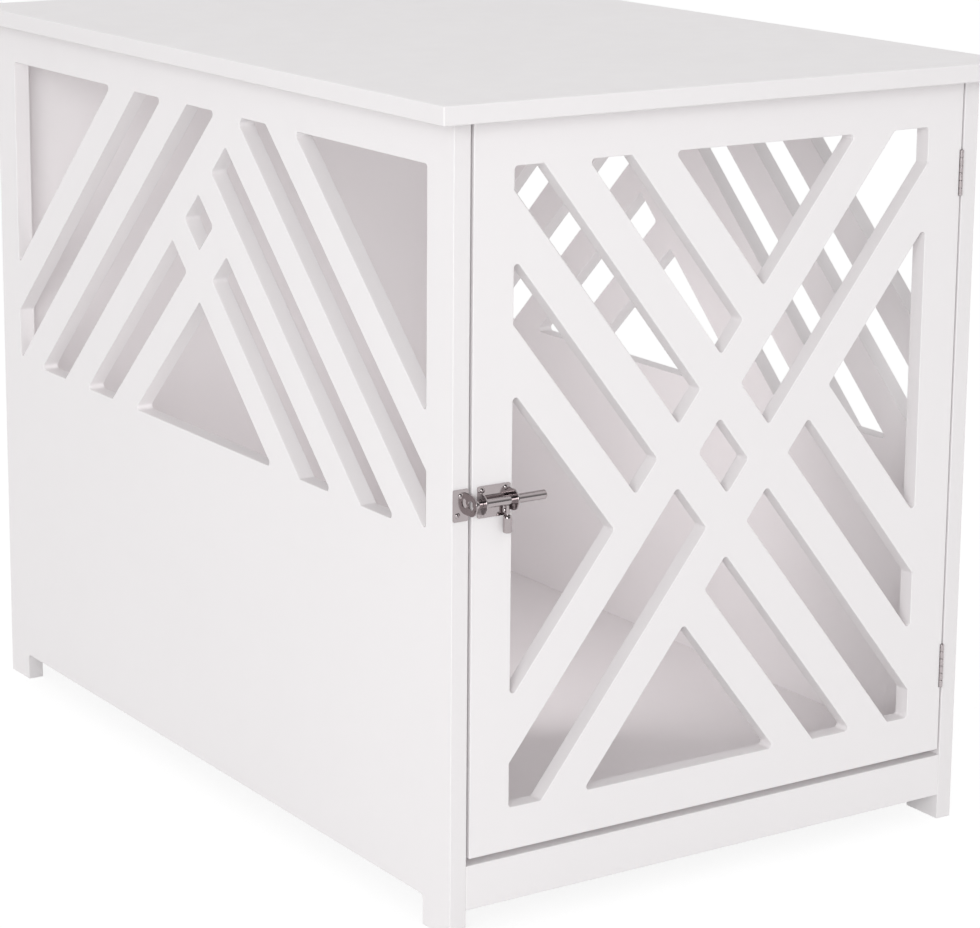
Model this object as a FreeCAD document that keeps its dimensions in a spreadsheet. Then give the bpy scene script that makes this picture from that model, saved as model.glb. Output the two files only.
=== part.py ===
import FreeCAD, Part
import os
import re
import Sketcher

# Dog crate end table: a flat-pack cabinet of painted 15 mm board with a routed lattice in both
# sides and in the door, under a plain table top. All lengths are in millimetres, angles in degrees.
#
# Cabinet coordinates: X runs across the front, Y from the front edges of the side panels to the
# back, Z up from the floor. The last step moves every piece along Y, so that the origin lies on the
# floor under the middle of the table top.

Vector = FreeCAD.Vector
UP = Vector(0, 0, 1)
# Small round things and their holes are prisms, which keeps the repeated fixings light.
FEW_SIDES = 8        # hinges, dowels and the shanks of screws and cam bolts
MORE_SIDES = 12      # cam locks, the knob, round screw heads and the rod's guide holes
EAR_SIDES = 6        # the half turn of a bolt ear's rim
NEAR = 0.01          # two values that differ by less are the same
UNIT = {
    "+X": Vector(1, 0, 0),
    "-X": Vector(-1, 0, 0),
    "+Y": Vector(0, 1, 0),
    "-Z": Vector(0, 0, -1),
}
DOC = FreeCAD.newDocument("DogCrateEndTable")

# ---------------------------------------------------------------- driving dimensions
SIZES = [
    ("total_height", 660.0, "floor to table top"),
    ("body_width", 516.5, "outside of one side panel to the outside of the other"),
    ("side_depth", 805.0, "front to back of a side panel"),
    ("board", 15.0, "thickness of the side, back, floor, rail and door boards"),
    ("top_thickness", 15.0, "thickness of the table top"),
    ("side_overhang", 23.5, "table top past each side panel"),
    ("front_overhang", 22.5, "table top past the front edges"),
    ("rear_overhang", 1.5, "table top past the back panel"),
    ("top_edge_ease", 0.8, "bevel of the table top's edges"),
    ("leg_height", 25.0, "lower edge of a side panel above the floor"),
    ("front_leg", 40.0, "length of the front leg of a side panel"),
    ("rear_leg", 38.0, "length of the rear leg of a side panel"),
    ("leg_round", 4.0, "rounding in the corner between leg and lower edge"),
    ("floor_level", 58.5, "upper face of the cabinet floor and of the front rail"),
    ("rail_height", 36.5, "height of the front rail under the door"),
    ("back_clearance", 25.0, "lower edge of the back panel above the floor"),
    ("latch_gap", 2.8, "gap beside the door at the bolt"),
    ("hinge_gap", 2.0, "gap beside the door at the hinges"),
    ("door_gap_top", 2.5, "gap between door and table top"),
    ("door_gap_bottom", 5.5, "gap between door and front rail"),
    ("door_stile", 36.6, "solid margin at the left and right of the door lattice"),
    ("door_rail", 35.2, "solid margin above and below the door lattice"),
    ("bar_width", 32.0, "width of every lattice bar"),
    ("door_bar_angle", 51.7, "slope of the door's bars"),
    ("rising_gap", 46.6, "space between the door's two rising bars"),
    ("falling_gap", 32.2, "space between neighbouring falling bars of the door"),
    ("lattice_lift", 3.4, "centre of the door lattice above the centre of its opening"),
    ("opening_round", 3.0, "corner radius that the router leaves in the openings"),
    ("side_margin", 37.5, "solid margin in front of and behind the side lattice"),
    ("side_top_margin", 37.0, "solid margin above the side lattice"),
    ("side_field", 287.0, "height of the side lattice"),
    ("side_bar_angle", 43.8, "slope of the side bars"),
    ("side_bar_pitch", 67.4, "spacing of the side bars, square to the bars"),
    ("side_peak", 141.4, "crossing of the lowest pair of side bars above the lattice's lower edge"),
    ("side_bars", 4.0, "number of side bars that lean each way"),
    ("hinge_height", 38.0, "length of a hinge"),
    ("hinge_inset", 75.5, "middle of a hinge from the nearer end of the door"),
    ("hinge_leaf", 13.0, "depth of a hinge leaf behind the pin"),
    ("hinge_sheet", 0.9, "thickness of a hinge leaf"),
    ("knuckle_radius", 1.8, "outer radius of the hinge knuckles"),
    ("knuckle_count", 6.0, "knuckles of one hinge, shared by its two leaves"),
    ("knuckle_play", 0.2, "gap between neighbouring knuckles"),
    ("pin_radius", 0.9, "radius of a hinge pin"),
    ("pin_play", 0.05, "radial clearance round a hinge pin"),
    ("pin_proud", 0.3, "pin axis in front of the door's face"),
    ("hinge_screw_head", 2.3, "radius of the flush heads of the hinge screws"),
    ("hinge_head_height", 0.5, "height of the flush heads"),
    ("barrel_room", 0.3, "clearance of the door board round the knuckles"),
    ("recess_play", 0.1, "clearance above and below a leaf in its recess in the door"),
    ("hinge_screw_spread", 22.0, "distance between the two screws of a leaf"),
    ("bolt_level", 350.8, "bolt rod axis above the floor"),
    ("bolt_standoff", 5.5, "bolt rod axis in front of the door's face"),
    ("plate_sheet", 1.0, "thickness of the bolt plate and the keeper plate"),
    ("plate_height", 25.2, "height of the bolt plate and the keeper plate"),
    ("plate_width", 30.0, "width of the bolt plate"),
    ("plate_inset", 4.7, "bolt plate from the door's edge"),
    ("plate_round", 1.5, "corner radius of the plates"),
    ("keeper_width", 14.0, "width of the keeper plate"),
    ("keeper_screw_rise", 7.6, "keeper screws above and below the rod axis"),
    ("keeper_screw_upper", 7.0, "upper keeper screw from the keeper plate's outer end"),
    ("keeper_screw_lower", 4.0, "lower keeper screw from the keeper plate's outer end"),
    ("keeper_inset", 0.3, "keeper plate from the outer face of the side panel"),
    ("ear_radius", 8.5, "radius of the round ears that guide the rod"),
    ("ear_sheet", 1.2, "thickness of an ear"),
    ("rod_radius", 3.75, "radius of the bolt rod"),
    ("rod_play", 0.08, "radial clearance of the rod in an ear"),
    ("rod_length", 66.0, "length of the bolt rod"),
    ("nose_radius", 3.4, "radius of the rod's domed nose"),
    ("nose_length", 7.2, "length of the nose"),
    ("rod_clear", 1.0, "drawn-back rod tip from the keeper's ear"),
    ("knob_place", 31.6, "handle from the tip of the rod"),
    ("knob_drop", 11.7, "upper end of the knob below the rod axis"),
    ("knob_length", 13.8, "length of the knob"),
    ("knob_dome", 1.6, "height of the knob's shoulder"),
    ("knob_radius", 3.65, "radius of the knob"),
    ("neck_radius", 1.5, "radius of the handle's neck"),
    ("screw_head_radius", 2.4, "radius of the round-headed screws' heads"),
    ("screw_head_height", 1.3, "height of the round heads"),
    ("screw_radius", 1.3, "radius of every small screw's shank"),
    ("screw_length", 12.0, "length of every small screw under its head"),
    ("screw_inset", 4.2, "bolt plate screws from the plate's ends"),
    ("screw_rise", 9.3, "bolt plate screws above and below the rod axis"),
    ("cam_radius", 7.4, "radius of a cam lock"),
    ("cam_setback", 24.0, "cam lock's middle from the joint it pulls together"),
    ("cam_depth", 12.5, "depth of a cam lock's pocket"),
    ("cam_play", 0.1, "clearance round a cam lock"),
    ("cam_recess", 0.3, "top of a cam lock below the board's face"),
    ("channel", 3.4, "half the width of the channel in a cam lock for its bolt"),
    ("cam_slot", 2.0, "width and depth of the screwdriver slot in a cam lock"),
    ("cam_bolt_radius", 2.8, "radius of a cam bolt's shank"),
    ("cam_thread_radius", 3.2, "radius of a cam bolt's thread"),
    ("cam_thread", 10.0, "length of a cam bolt's thread"),
    ("dowel_radius", 4.0, "radius of a wooden dowel"),
    ("dowel_length", 28.0, "length of a wooden dowel"),
    ("dowel_seat", 9.4, "how deep a dowel stands in the first board"),
    ("floor_fixing", 75.0, "floor cam locks from the ends of the floor"),
    ("back_fixing", 90.0, "cam locks of the back from the floor and from the table top"),
    ("top_fixing", 67.5, "cam locks under the table top from the ends of a side panel"),
    ("cam_bolt_play", 0.2, "radial clearance of a cam bolt in the board it pulls"),
    ("hole_spare", 0.5, "how much deeper a blind hole is than what stands in it"),
    ("fixing_play", 0.05, "radial clearance of screws, bolts and dowels in their holes"),
]

sheet = DOC.addObject("Spreadsheet::Sheet", "Sizes")
for row, (alias, value, note) in enumerate(SIZES, start=1):
    sheet.set("A%d" % row, note)
    sheet.set("B%d" % row, str(value))
    sheet.setAlias("B%d" % row, alias)
DOC.recompute()

ALIASES = re.compile(r"\b(%s)\b" % "|".join(alias for alias, value, note in SIZES))


def size(alias):
    """The value of one cell of the sheet."""
    return float(sheet.get(alias))


def bind(obj, path, text):
    """Bind a property to an expression written with the sheet's aliases."""
    obj.setExpression(path, ALIASES.sub(r"Sizes.\1", text))


# ---------------------------------------------------------------- places shared by several pieces
INNER_X = "(body_width / 2 - board)"
TOP_UNDERSIDE = "(total_height - top_thickness)"
FIELD_TOP = "(total_height - top_thickness - side_top_margin)"
DOOR_LEFT = "(board + latch_gap - body_width / 2)"
DOOR_RIGHT = "(body_width / 2 - board - hinge_gap)"
DOOR_WIDTH = "(body_width - 2 * board - latch_gap - hinge_gap)"
DOOR_BOTTOM = "(floor_level + door_gap_bottom)"
DOOR_HEIGHT = "(total_height - top_thickness - door_gap_top - floor_level - door_gap_bottom)"
BACK_FRONT = "(side_depth - board)"
PIN_Y = "(-pin_proud)"
ROD_Y = "(-bolt_standoff)"
ROD_TIP = "(keeper_inset + keeper_width - body_width / 2 + rod_clear)"
PLATE_LEFT = "(board + latch_gap + plate_inset - body_width / 2)"
HINGE_LEVELS = {
    "upper": "(total_height - top_thickness - door_gap_top - hinge_inset)",
    "lower": "(floor_level + door_gap_bottom + hinge_inset)",
}
TO_ORIGIN = "front_overhang - (front_overhang + side_depth + rear_overhang) / 2"


# ---------------------------------------------------------------- modelling helpers
def at(obj, x, y, z):
    """Bind an object's place to three expressions."""
    bind(obj, "Placement.Base.x", x)
    bind(obj, "Placement.Base.y", y)
    bind(obj, "Placement.Base.z", z)
    return obj


def turn(obj, x_axis, z_axis):
    """Turn an object so that its own X and Z axes point along two given directions."""
    y_axis = z_axis.cross(x_axis)
    obj.Placement.Rotation = FreeCAD.Rotation(x_axis, y_axis, z_axis, "ZXY")
    return obj


def box(name, length, width, height, x, y, z):
    """A box from its lowest corner."""
    obj = DOC.addObject("Part::Box", name)
    bind(obj, "Length", length)
    bind(obj, "Width", width)
    bind(obj, "Height", height)
    return at(obj, x, y, z)


def cylinder(name, radius, length):
    """An upright cylinder."""
    obj = DOC.addObject("Part::Cylinder", name)
    bind(obj, "Radius", radius)
    bind(obj, "Height", length)
    return obj


def prism(name, sides, radius, length, x, y, z, axis):
    """A flat-sided cylinder from the middle of its first end, running along a unit direction."""
    obj = DOC.addObject("Part::Prism", name)
    obj.Polygon = sides
    bind(obj, "Circumradius", radius)
    bind(obj, "Height", length)
    turn(obj, UP if axis.z == 0 else UNIT["+X"], axis)
    return at(obj, x, y, z)


def flats(radius, sides):
    """The corner radius of a prism whose flats lie at a radius."""
    return "(%s) / cos(180deg / %d)" % (radius, sides)


def fuse(name, shapes):
    """One solid out of several, or the only one itself."""
    if len(shapes) == 1:
        return shapes[0]
    obj = DOC.addObject("Part::MultiFuse", name)
    obj.Shapes = shapes
    obj.Refine = True
    return obj


def cut(name, base, tools):
    """A solid without the space of some tools."""
    obj = DOC.addObject("Part::Cut", name)
    obj.Base = base
    obj.Tool = fuse(name + "_tools", tools)
    obj.Refine = True
    return obj


def new_body(name):
    """A PartDesign body."""
    return DOC.addObject("PartDesign::Body", name)


def origin_plane(body, role):
    """One of a body's own origin planes."""
    return [item for item in body.Origin.OriginFeatures if item.Role == role][0]


def sketch_on(body, name, role):
    """A sketch on one of a body's own origin planes."""
    sketch = body.newObject("Sketcher::SketchObject", name)
    sketch.AttachmentSupport = [(origin_plane(body, role), "")]
    sketch.MapMode = "FlatFace"
    return sketch


def evaluate(text):
    """The present value of an expression written with the sheet's aliases."""
    return float(sheet.evalExpression(ALIASES.sub(r"Sizes.\1", text)))


def hold_point(sketch, geometry, end, x, y):
    """Fix a point of a sketch at two expressions, measured from the sketch's origin."""
    for kind, text in (("DistanceX", x), ("DistanceY", y)):
        place = sketch.addConstraint(Sketcher.Constraint(kind, -1, 1, geometry, end, evaluate(text)))
        bind(sketch, "Constraints[%d]" % place, text)


def closed_outline(sketch, corners):
    """A closed outline, taken counter-clockwise; each corner is a pair of expressions."""
    points = [Vector(evaluate(x), evaluate(y), 0) for x, y in corners]
    count = len(points)
    for number, start in enumerate(points):
        sketch.addGeometry(Part.LineSegment(start, points[(number + 1) % count]), False)
    for number, (x, y) in enumerate(corners):
        following = (number + 1) % count
        sketch.addConstraint(Sketcher.Constraint("Coincident", number, 2, following, 1))
        hold_point(sketch, number, 1, x, y)


def pad(body, sketch, length):
    """A pad of a sketch along its plane's normal."""
    feature = body.newObject("PartDesign::Pad", sketch.Name + "_pad")
    feature.Profile = sketch
    bind(feature, "Length", length)
    return feature


def revolve(body, sketch):
    """A full turn of a sketch about its vertical axis."""
    feature = body.newObject("PartDesign::Revolution", sketch.Name + "_turned")
    feature.Profile = sketch
    feature.ReferenceAxis = (sketch, ["V_Axis"])
    feature.Angle = 360
    return feature


def straight_edges(shape, direction):
    """Numbers of the straight edges that run along a direction."""
    found = []
    for number, edge in enumerate(shape.Edges, start=1):
        if edge.Curve.TypeId != "Part::GeomLine":
            continue
        if edge.Curve.Direction.cross(direction).Length < NEAR:
            found.append(number)
    return found


def copies(name, original, places):
    """Several copies of one body, each at (x, y, z, own X direction, own Z direction)."""
    links = []
    for number, (x, y, z, x_axis, z_axis) in enumerate(places):
        link = DOC.addObject("App::Link", "%s_copy%d" % (name, number))
        link.LinkedObject = original
        turn(link, x_axis, z_axis)
        links.append(at(link, x, y, z))
    group = DOC.addObject("Part::Compound", name)
    group.Links = links
    return group


PIECES = {}


def piece(node, obj, x="0", y="0", z="0"):
    """Name a finished piece and put it in its place; its label is the name of its file."""
    obj.Label = node
    at(obj, x, "%s + %s" % (y, TO_ORIGIN), z)
    PIECES[node] = obj


# ---------------------------------------------------------------- lattice openings
# A lattice is made as the router makes it: openings are cut through the board, and what is left
# between them are the bars. The openings are the lattice's field less its bars, with round corners.
BIT = 2.0            # how far the cutting bodies stand out of the board on each side
SHORTEST = 2.2       # an opening's wall is rounded only if it is this many corner radii long
WIDE = -0.01         # corners of 90 degrees and more stay plain: the cosine between their walls


def bar(name, across, tilt, offset, start, length, middle, level):
    """A lattice bar as a box.

    across is X for bars that lie in the front plane and Y for bars that lie in a side plane. tilt
    leans the bar up along that axis, offset moves it square to its length, and start and length
    are measured along it from the foot of that offset. middle and level are the lattice's centre.
    """
    obj = DOC.addObject("Part::Box", name)
    run = "(%s)" % start
    rise = "(%s - bar_width / 2)" % offset
    place = "%s + %s * cos(%s * 1deg) - %s * sin(%s * 1deg)" % (middle, run, tilt, rise, tilt)
    height = "%s + %s * sin(%s * 1deg) + %s * cos(%s * 1deg)" % (level, run, tilt, rise, tilt)
    through = "board + %g" % (2 * BIT)
    in_front = across == "X"
    bind(obj, "Height", "bar_width")
    bind(obj, "Length", length if in_front else through)
    bind(obj, "Width", through if in_front else length)
    axis = Vector(0, -1, 0) if in_front else UNIT["+X"]
    obj.Placement.Rotation = FreeCAD.Rotation(axis, size("door_bar_angle"))
    bind(obj, "Placement.Rotation.Angle", "(%s)" % tilt)
    if in_front:
        return at(obj, place, "%g" % -BIT, height)
    return at(obj, "%g" % -BIT, place, height)


def rounded_openings(name, field, bars, direction):
    """The field less its bars, with the corners rounded along the board's thickness."""
    sharp = cut(name + "_sharp", field, bars)
    DOC.recompute()
    radius = size("opening_round")
    lengths = {}
    for number in straight_edges(sharp.Shape, direction):
        edge = sharp.Shape.Edges[number - 1]
        faces = sharp.Shape.ancestorsOfType(edge, Part.Face)
        walls = [face for face in faces if abs(face.normalAt(0, 0).dot(direction)) < NEAR]
        turned = walls[0].normalAt(0, 0).dot(walls[1].normalAt(0, 0))
        if turned < WIDE:
            lengths[number] = min(face.Area for face in walls) / edge.Length
    rounded = DOC.addObject("Part::Fillet", name)
    rounded.Base = sharp
    rounded.Edges = [
        (number, radius, radius) for number, wall in lengths.items() if wall > SHORTEST * radius
    ]
    return rounded


# ---------------------------------------------------------------- knock-down fixings
# The boards are pulled together by cam locks, which turn in round pockets and draw in the heads of
# bolts that are screwed into the neighbouring board, and wooden dowels keep them in line.
SCREW_HOLE = "screw_radius + fixing_play"
CUTTERS = {}
CAM_PLACES = []
BOLT_PLACES = []
DOWEL_PLACES = []


def along(point, direction, distance):
    """A point of three expressions moved by a distance along a unit direction."""
    moved = []
    for text, part in zip(point, direction):
        moved.append(text if part == 0 else "%s + (%g) * (%s)" % (text, part, distance))
    return moved


def bore(board, radius, length, point, direction, sides=FEW_SIDES):
    """Drill a hole into a board."""
    holes = CUTTERS.setdefault(board, [])
    name = "%s_bore%d" % (board, len(holes))
    holes.append(prism(name, sides, radius, length, point[0], point[1], point[2], direction))


def cam_joint(threaded, pulled, point, direction, opening):
    """A cam bolt in one board's face and its cam lock in the other board.

    point is on the joint in the middle of the pulled board's thickness, direction leads into that
    board, and opening is the direction in which its cam pocket is open.
    """
    into = UNIT[direction]
    out = UNIT[opening]
    cam_middle = along(point, into, "cam_setback")
    bore(threaded, "cam_thread_radius + fixing_play", "cam_thread + hole_spare", point, into * -1)
    bore(pulled, "cam_bolt_radius + cam_bolt_play", "cam_setback", point, into)
    mouth = along(cam_middle, out, "board / 2")
    bore(pulled, "cam_radius + cam_play", "cam_depth", mouth, out * -1, MORE_SIDES)
    CAM_PLACES.append(cam_middle + [into, out])
    BOLT_PLACES.append(list(point) + [out, into])


def dowel_joint(board, neighbour, point, direction):
    """A dowel that stands in a board's face and in its neighbour's edge."""
    into = UNIT[direction]
    radius = "dowel_radius + fixing_play"
    bore(board, radius, "dowel_seat + hole_spare", point, into * -1)
    bore(neighbour, radius, "dowel_length - dowel_seat + hole_spare", point, into)
    start = along(point, into * -1, "dowel_seat")
    side = UNIT["+Y"] if direction == "-Z" else Vector(0, 0, 1)
    DOWEL_PLACES.append(start + [side, into])


FLOOR_MIDDLE = "(floor_level - board / 2)"
RAIL_LOWER = "(floor_level - board - (rail_height - board) / 2)"
BACK_MIDDLE = "(side_depth - board / 2)"
for panel, sign, direction in (("left_side_panel", "-", "+X"), ("right_side_panel", "", "-X")):
    face = sign + INNER_X
    top_x = "%s(body_width / 2 - board / 2)" % sign
    for depth in ("board + floor_fixing", "side_depth - board - floor_fixing"):
        cam_joint(panel, "floor_panel", (face, depth, FLOOR_MIDDLE), direction, "-Z")
    dowel_joint(panel, "floor_panel", (face, "side_depth / 2", FLOOR_MIDDLE), direction)
    for level in ("floor_level + back_fixing", TOP_UNDERSIDE + " - back_fixing"):
        cam_joint(panel, "back_panel", (face, BACK_MIDDLE, level), direction, "+Y")
    dowel_joint(panel, "back_panel", (face, BACK_MIDDLE, "total_height / 2"), direction)
    dowel_joint(panel, "front_bottom_rail", (face, "board / 2", RAIL_LOWER), direction)
    for depth in ("top_fixing", "side_depth - top_fixing"):
        cam_joint("top_panel", panel, (top_x, depth, TOP_UNDERSIDE), "-Z", direction)
    dowel_joint("top_panel", panel, (top_x, "side_depth / 2", TOP_UNDERSIDE), "-Z")
for sign in ("-", ""):
    spread = "%sbody_width / 4" % sign
    dowel_joint("front_bottom_rail", "floor_panel", (spread, "board", FLOOR_MIDDLE), "+Y")


# ---------------------------------------------------------------- table top, back, floor and rail
BOARDS = {}
top_body = new_body("TopBoard")
top_sketch = sketch_on(top_body, "TopOutline", "XY_Plane")
TOP_X = "(body_width / 2 + side_overhang)"
TOP_BACK = "(side_depth + rear_overhang)"
closed_outline(
    top_sketch,
    [
        ("-" + TOP_X, "-front_overhang"),
        (TOP_X, "-front_overhang"),
        (TOP_X, TOP_BACK),
        ("-" + TOP_X, TOP_BACK),
    ],
)
top_pad = pad(top_body, top_sketch, "top_thickness")
DOC.recompute()
top_ease = top_body.newObject("PartDesign::Chamfer", "TopEase")
top_ease.Base = (top_pad, ["Edge%d" % number for number in range(1, len(top_pad.Shape.Edges) + 1)])
bind(top_ease, "Size", "top_edge_ease")
at(top_body, "0", "0", TOP_UNDERSIDE)
BOARDS["top_panel"] = top_body

BOARDS["back_panel"] = box(
    "BackBoard", "body_width - 2 * board", "board", "total_height - top_thickness - back_clearance",
    "-" + INNER_X, BACK_FRONT, "back_clearance",
)

BOARDS["floor_panel"] = box(
    "FloorBoard", "body_width - 2 * board", "side_depth - 2 * board", "board",
    "-" + INNER_X, "board", "floor_level - board",
)

BOARDS["front_bottom_rail"] = box(
    "RailBoard", "body_width - 2 * board", "board", "rail_height",
    "-" + INNER_X, "0", "floor_level - rail_height",
)


# ---------------------------------------------------------------- side panels
# The bars lean both ways from the middle of the panel and meet in pointed arches. The second bar
# of the rear half runs unbroken to the top of the lattice, and every bar of the front half ends at
# it. The lowest bar of the rear half ends at the second bar of the front half.
SIDE_MIDDLE = "(side_depth / 2)"
SIDE_FLOOR = "(total_height - top_thickness - side_top_margin - side_field)"
PEAK = "(total_height - top_thickness - side_top_margin - side_field + side_peak)"
REACH = "(side_depth + total_height)"


def side_lattice(panel):
    """The openings of one side panel, in a block that lies over the plane X = 0."""
    field = box(
        panel + "_field", "board + %g" % (2 * BIT), "side_depth - 2 * side_margin", "side_field",
        "%g" % -BIT, "side_margin", SIDE_FLOOR,
    )
    bars = []
    for number in range(int(size("side_bars"))):
        offset = "(%d * side_bar_pitch)" % number
        start = "-side_bar_pitch / sin(2 * side_bar_angle * 1deg)" if number == 0 else "-" + REACH
        length = REACH if number == 0 else "2 * " + REACH
        name = "%s_rear_bar%d" % (panel, number)
        bars.append(bar(name, "Y", "(-side_bar_angle)", offset, start, length, SIDE_MIDDLE, PEAK))
        meeting = "(side_bar_pitch - %s * cos(2 * side_bar_angle * 1deg))" % offset
        start = "%s / sin(2 * side_bar_angle * 1deg) - %s" % (meeting, REACH)
        name = "%s_front_bar%d" % (panel, number)
        bars.append(bar(name, "Y", "side_bar_angle", offset, start, REACH, SIDE_MIDDLE, PEAK))
    return rounded_openings(panel + "_openings", field, bars, Vector(1, 0, 0))


for panel, inside_x in (
    ("left_side_panel", "-body_width / 2"),
    ("right_side_panel", "body_width / 2 - board"),
):
    blank = new_body(panel + "_blank")
    outline = sketch_on(blank, panel + "_outline", "YZ_Plane")
    closed_outline(
        outline,
        [
            ("0", "0"),
            ("front_leg", "0"),
            ("front_leg", "leg_height"),
            ("side_depth - rear_leg", "leg_height"),
            ("side_depth - rear_leg", "0"),
            ("side_depth", "0"),
            ("side_depth", TOP_UNDERSIDE),
            ("0", TOP_UNDERSIDE),
        ],
    )
    blank_pad = pad(blank, outline, "board")
    DOC.recompute()
    corners = []
    for number in straight_edges(blank_pad.Shape, Vector(1, 0, 0)):
        middle = blank_pad.Shape.Edges[number - 1].CenterOfMass
        if abs(middle.z - size("leg_height")) < NEAR:
            corners.append("Edge%d" % number)
    leg_corners = blank.newObject("PartDesign::Fillet", panel + "_leg_corners")
    leg_corners.Base = (blank_pad, corners)
    bind(leg_corners, "Radius", "leg_round")
    BOARDS[panel] = at(cut(panel + "_routed", blank, [side_lattice(panel)]), inside_x, "0", "0")


# ---------------------------------------------------------------- door
# Two unbroken rising bars cross two pairs of falling bars. The outer falling bars stop at the
# rising ones, so the channel between the rising bars stays open but for the inner pair.
DOOR_MIDDLE = "((latch_gap - hinge_gap) / 2)"
DOOR_CENTRE = "(%s + %s / 2 + lattice_lift)" % (DOOR_BOTTOM, DOOR_HEIGHT)
door_field = box(
    "DoorField", DOOR_WIDTH + " - 2 * door_stile", "board + %g" % (2 * BIT),
    DOOR_HEIGHT + " - 2 * door_rail",
    DOOR_LEFT + " + door_stile", "%g" % -BIT, DOOR_BOTTOM + " + door_rail",
)
RISING_OFFSET = "((rising_gap + bar_width) / 2)"
INNER_OFFSET = "((falling_gap + bar_width) / 2)"
OUTER_OFFSET = "((falling_gap + bar_width) * 3 / 2)"
door_bars = []
for side, sign in (("upper", ""), ("lower", "-")):
    door_bars.append(
        bar("rising_bar_" + side, "X", "door_bar_angle", sign + RISING_OFFSET,
            "-" + REACH, "2 * " + REACH, DOOR_MIDDLE, DOOR_CENTRE)
    )
    door_bars.append(
        bar("inner_falling_bar_" + side, "X", "(-door_bar_angle)", sign + INNER_OFFSET,
            "-" + REACH, "2 * " + REACH, DOOR_MIDDLE, DOOR_CENTRE)
    )
    square = "%s%s * cos(2 * door_bar_angle * 1deg)" % (sign, OUTER_OFFSET)
    near = "((%s - %s) / sin(2 * door_bar_angle * 1deg))" % (square, RISING_OFFSET)
    far = "((%s + %s) / sin(2 * door_bar_angle * 1deg))" % (square, RISING_OFFSET)
    door_bars.append(
        bar("outer_falling_bar_left_" + side, "X", "(-door_bar_angle)", sign + OUTER_OFFSET,
            near + " - " + REACH, REACH, DOOR_MIDDLE, DOOR_CENTRE)
    )
    door_bars.append(
        bar("outer_falling_bar_right_" + side, "X", "(-door_bar_angle)", sign + OUTER_OFFSET,
            far, REACH, DOOR_MIDDLE, DOOR_CENTRE)
    )
door_openings = rounded_openings("DoorOpenings", door_field, door_bars, Vector(0, 1, 0))
BOARDS["door_panel"] = box(
    "DoorBoard", DOOR_WIDTH, "board", DOOR_HEIGHT, DOOR_LEFT, "0", DOOR_BOTTOM,
)
CUTTERS["door_panel"] = [door_openings]
for name, level in HINGE_LEVELS.items():
    CUTTERS["door_panel"].append(
        box(name + "_leaf_recess", "hinge_sheet", "hinge_leaf - pin_proud",
            "hinge_height + 2 * recess_play", DOOR_RIGHT + " - hinge_sheet", "0",
            level + " - hinge_height / 2 - recess_play")
    )
    CUTTERS["door_panel"].append(
        prism(name + "_knuckle_recess", FEW_SIDES, flats("knuckle_radius + barrel_room", FEW_SIDES),
              "hinge_height + 2 * barrel_room",
              DOOR_RIGHT, PIN_Y, level + " - hinge_height / 2 - barrel_room", UP)
    )


# ---------------------------------------------------------------- hinges
# Each hinge is a pair of rolled steel leaves on a loose pin. The door's leaf lies in a recess in
# the door's edge and the other leaf on the inner face of the right side panel.
KNUCKLE = "((hinge_height + knuckle_play) / knuckle_count)"
SCREW_Y = "(hinge_leaf / 2 + knuckle_radius / 2 - pin_proud)"


def hinge_leaf(name, level, leaf_x, face_x, inward, first):
    """One leaf: a plate with every second knuckle rolled round the pin.

    leaf_x is the plate's left face, and its screws go in at face_x in the direction inward.
    """
    plate = box(
        name + "_plate", "hinge_sheet", "hinge_leaf", "hinge_height",
        leaf_x, PIN_Y, level + " - hinge_height / 2",
    )
    knuckles = []
    gaps = []
    for number in range(int(size("knuckle_count"))):
        foot = "%s - hinge_height / 2 + %d * %s" % (level, number, KNUCKLE)
        if number % 2 == first:
            knuckles.append(
                prism("%s_knuckle%d" % (name, number), FEW_SIDES, "knuckle_radius",
                      KNUCKLE + " - knuckle_play", DOOR_RIGHT, PIN_Y, foot, UP)
            )
        else:
            gaps.append(
                prism("%s_gap%d" % (name, number), FEW_SIDES,
                      flats("knuckle_radius + barrel_room", FEW_SIDES), KNUCKLE + " + knuckle_play",
                      DOOR_RIGHT, PIN_Y, foot + " - knuckle_play", UP)
            )
    pin_hole = prism(
        name + "_pin_hole", FEW_SIDES, flats("pin_radius + pin_play / 2", FEW_SIDES),
        "2 * hinge_height", DOOR_RIGHT, PIN_Y, level + " - hinge_height", UP,
    )
    screw_holes = []
    for number, sign in enumerate(("-", "+")):
        height = "%s %s hinge_screw_spread / 2" % (level, sign)
        screw_holes.append(
            prism("%s_seat%d" % (name, number), FEW_SIDES, "hinge_screw_head + fixing_play",
                  "hinge_head_height + fixing_play", face_x, SCREW_Y, height, inward)
        )
        screw_holes.append(
            prism("%s_hole%d" % (name, number), FEW_SIDES, SCREW_HOLE, "2 * hinge_sheet",
                  face_x, SCREW_Y, height, inward)
        )
    solid = fuse(name + "_rolled", [plate] + knuckles)
    return cut(name, solid, gaps + [pin_hole] + screw_holes)


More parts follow.
